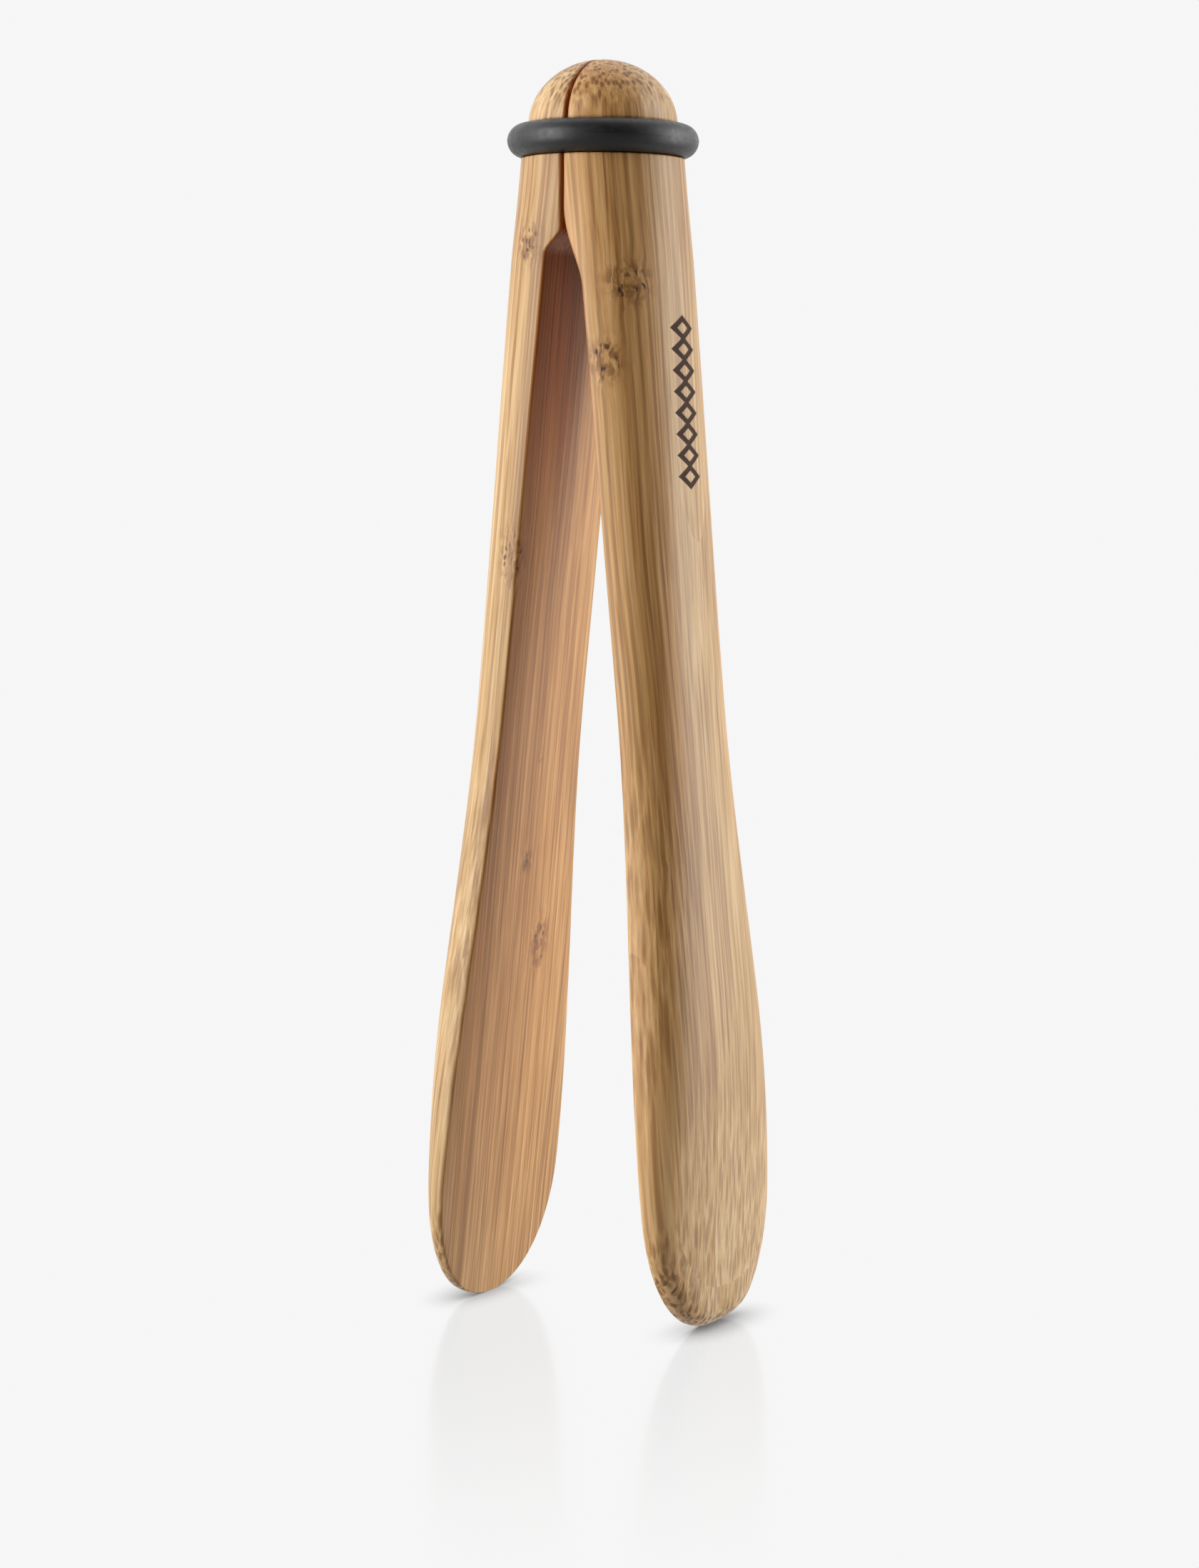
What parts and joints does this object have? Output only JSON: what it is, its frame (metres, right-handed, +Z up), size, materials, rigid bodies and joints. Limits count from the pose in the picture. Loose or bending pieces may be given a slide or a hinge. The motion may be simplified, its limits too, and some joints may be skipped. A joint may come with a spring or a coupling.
{
  "type": "wooden ring tongs",
  "caption": "Two-arm bamboo tongs with domed heads rolled against each other and held by a stretchy rubber ring, with flat-faced spatula jaws.",
  "frame": {"origin": "on the surface that the tongs stand on, midway between the two tips, under the middle of the ring", "axes": "+Z up from the tips to the heads, +X from the left arm to the right arm (the way the jaws open), +Y across the width of the jaws"},
  "size_m": [0.067, 0.0498, 0.27],
  "materials": {
    "bamboo": "satin",
    "rubber": "satin",
    "dowel_wood": "matte"
  },
  "bodies": {
    "left_arm": {"left_arm": "bamboo", "pivot_dowel": "dowel_wood", "ring": "rubber"},
    "right_arm": {"right_arm": "bamboo"}
  },
  "joints": [
    {"name": "squeeze", "type": "hinge", "parent": "left_arm", "child": "right_arm", "pos_m": [0, 0, 0.2385], "axis": [0, 1, 0], "range_deg": [0, 13], "stiffness_Nm_per_rad": 0.8, "springref_deg": -22.92, "deforming": ["ring"]}
  ]
}
